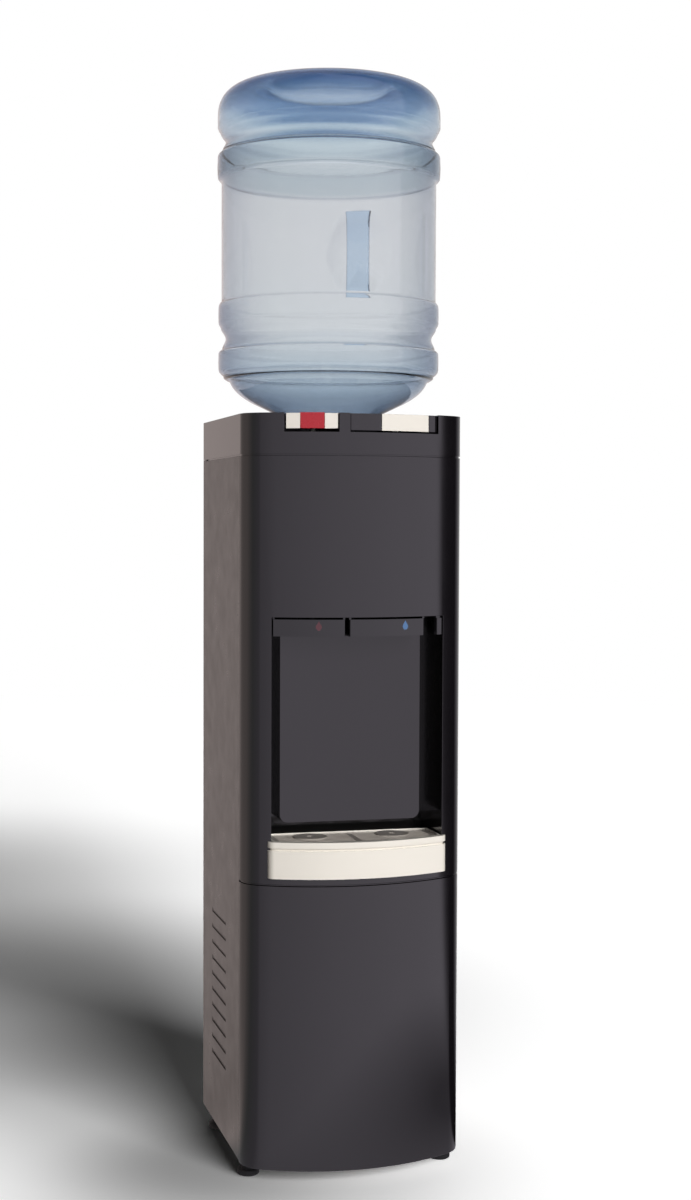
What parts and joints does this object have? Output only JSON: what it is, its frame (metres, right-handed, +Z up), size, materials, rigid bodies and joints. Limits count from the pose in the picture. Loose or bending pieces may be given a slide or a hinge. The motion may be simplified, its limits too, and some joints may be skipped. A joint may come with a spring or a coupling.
{
  "type": "bottled water dispenser",
  "caption": "Floor-standing hot and cold water dispenser with an inverted bottle, lever taps, a recessed dispensing bay and a pull-out drip tray.",
  "frame": {"origin": "middle of the footprint on the floor", "axes": "+Z up, front of the cabinet towards -Y, +X to the right as seen from the front"},
  "size_m": [0.2724, 0.3116, 1.306],
  "materials": {
    "charcoal_plastic": "satin moulded charcoal plastic, faint fine grain",
    "black_gloss": "polished black plastic",
    "hood_grey": "glossy dark grey plastic",
    "painted_steel": "dark grey powder coat on sheet steel",
    "cream_plastic": "satin cream white plastic",
    "red_plastic": "satin red plastic",
    "grille_grey": "satin warm grey plastic",
    "galvanised": "galvanised sheet steel with a soft spangle",
    "stainless_steel": "brushed stainless steel",
    "copper": "drawn copper, slightly oxidised",
    "black_steel": "semi-matt black paint on steel",
    "foot_rubber": "matt black rubber",
    "white_plastic": "natural white plastic",
    "silicone": "translucent silicone tube",
    "foam": "expanded polystyrene bead foam",
    "bottle_blue": "clear light blue moulded plastic",
    "cap_blue": "satin blue plastic"
  },
  "bodies": {
    "cabinet": {"base_pan": "galvanised", "foot_front_left": "foot_rubber", "foot_front_right": "foot_rubber", "foot_rear_left": "foot_rubber", "foot_rear_right": "foot_rubber", "left_side_panel": "painted_steel", "right_side_panel": "painted_steel", "back_panel": "galvanised", "front_lower_panel": "charcoal_plastic", "front_upper_panel": "charcoal_plastic", "top_cover": "charcoal_plastic", "lever_pin": "stainless_steel", "bay_liner": "black_gloss", "tap_column": "charcoal_plastic", "hot_tap_hood": "hood_grey", "cold_tap_hood": "hood_grey", "hood_end_block": "hood_grey", "hot_tap_body": "charcoal_plastic", "hot_tap_spring": "stainless_steel", "cold_tap_body": "charcoal_plastic", "cold_tap_spring": "stainless_steel", "bottle_seat": "black_gloss", "feed_probe": "white_plastic", "cold_tank": "stainless_steel", "cold_tank_insulation": "foam", "insulation_lid": "foam", "evaporator_coil": "copper", "tank_baffle": "white_plastic", "tank_shelf": "galvanised", "hot_tank": "stainless_steel", "heater_band": "copper", "hot_tank_jacket": "foam", "hot_tank_shelf": "galvanised", "hot_water_tube": "silicone", "cold_water_tube": "silicone", "tank_feed_tube": "silicone", "drain_pipe": "silicone", "compressor": "black_steel", "compressor_mount": "foot_rubber", "condenser_coil": "black_steel", "discharge_line": "copper", "suction_line": "copper", "switch_plate": "black_gloss", "power_inlet": "black_gloss"},
    "bottle": {"water_bottle": "bottle_blue", "bottle_cap": "cap_blue"},
    "hot_lever_body": {"hot_lever": "charcoal_plastic", "hot_lever_cap": "cream_plastic"},
    "hot_lock_body": {"hot_child_lock": "red_plastic"},
    "cold_lever_body": {"cold_lever": "charcoal_plastic", "cold_lever_cap": "cream_plastic"},
    "hot_plunger_body": {"hot_tap_plunger": "white_plastic", "hot_push_rod": "white_plastic"},
    "cold_plunger_body": {"cold_tap_plunger": "white_plastic", "cold_push_rod": "white_plastic"},
    "tray_body": {"drip_tray": "cream_plastic"},
    "grille_body": {"drip_grille": "grille_grey"},
    "hot_switch_body": {"hot_power_switch": "red_plastic"},
    "cold_switch_body": {"cold_power_switch": "white_plastic"},
    "drain_cap_body": {"drain_cap": "white_plastic"}
  },
  "joints": [
    {"name": "bottle_lift", "type": "slide", "parent": "cabinet", "child": "bottle", "axis": [0, 0, 1], "range_m": [0, 0.15]},
    {"name": "hot_lever_press", "type": "hinge", "parent": "cabinet", "child": "hot_lever_body", "pos_m": [0, -0.07835, 0.886], "axis": [1, 0, 0], "range_deg": [0, 5], "stiffness_Nm_per_rad": 0.6, "springref_deg": -5.73},
    {"name": "cold_lever_press", "type": "hinge", "parent": "cabinet", "child": "cold_lever_body", "pos_m": [0, -0.07835, 0.886], "axis": [1, 0, 0], "range_deg": [0, 5], "stiffness_Nm_per_rad": 0.6, "springref_deg": -5.73},
    {"name": "hot_lock_slide", "type": "slide", "parent": "hot_lever_body", "child": "hot_lock_body", "axis": [0, 1, 0], "range_m": [0, 0.005]},
    {"name": "hot_plunger_travel", "type": "slide", "parent": "cabinet", "child": "hot_plunger_body", "axis": [0, 0, -1], "range_m": [0, 0.0024], "deforming": ["hot_tap_spring"]},
    {"name": "cold_plunger_travel", "type": "slide", "parent": "cabinet", "child": "cold_plunger_body", "axis": [0, 0, -1], "range_m": [0, 0.0024], "deforming": ["cold_tap_spring"]},
    {"name": "tray_slide", "type": "slide", "parent": "cabinet", "child": "tray_body", "axis": [0, -1, 0], "range_m": [0, 0.09]},
    {"name": "grille_lift", "type": "slide", "parent": "tray_body", "child": "grille_body", "axis": [0, 0, 1], "range_m": [0, 0.012]},
    {"name": "hot_switch_rock", "type": "hinge", "parent": "cabinet", "child": "hot_switch_body", "pos_m": [0.077, 0.12215, 0.822], "axis": [1, 0, 0], "range_deg": [-8, 8]},
    {"name": "cold_switch_rock", "type": "hinge", "parent": "cabinet", "child": "cold_switch_body", "pos_m": [0.097, 0.12215, 0.822], "axis": [1, 0, 0], "range_deg": [-8, 8]},
    {"name": "drain_cap_turn", "type": "hinge", "parent": "cabinet", "child": "drain_cap_body", "pos_m": [0, 0.12565, 0.235], "axis": [0, 1, 0], "continuous": true}
  ],
  "couplings": [
    {"joint": "hot_plunger_travel", "follows": "hot_lever_press", "m_per_rad": 0.026},
    {"joint": "cold_plunger_travel", "follows": "cold_lever_press", "m_per_rad": 0.026}
  ]
}
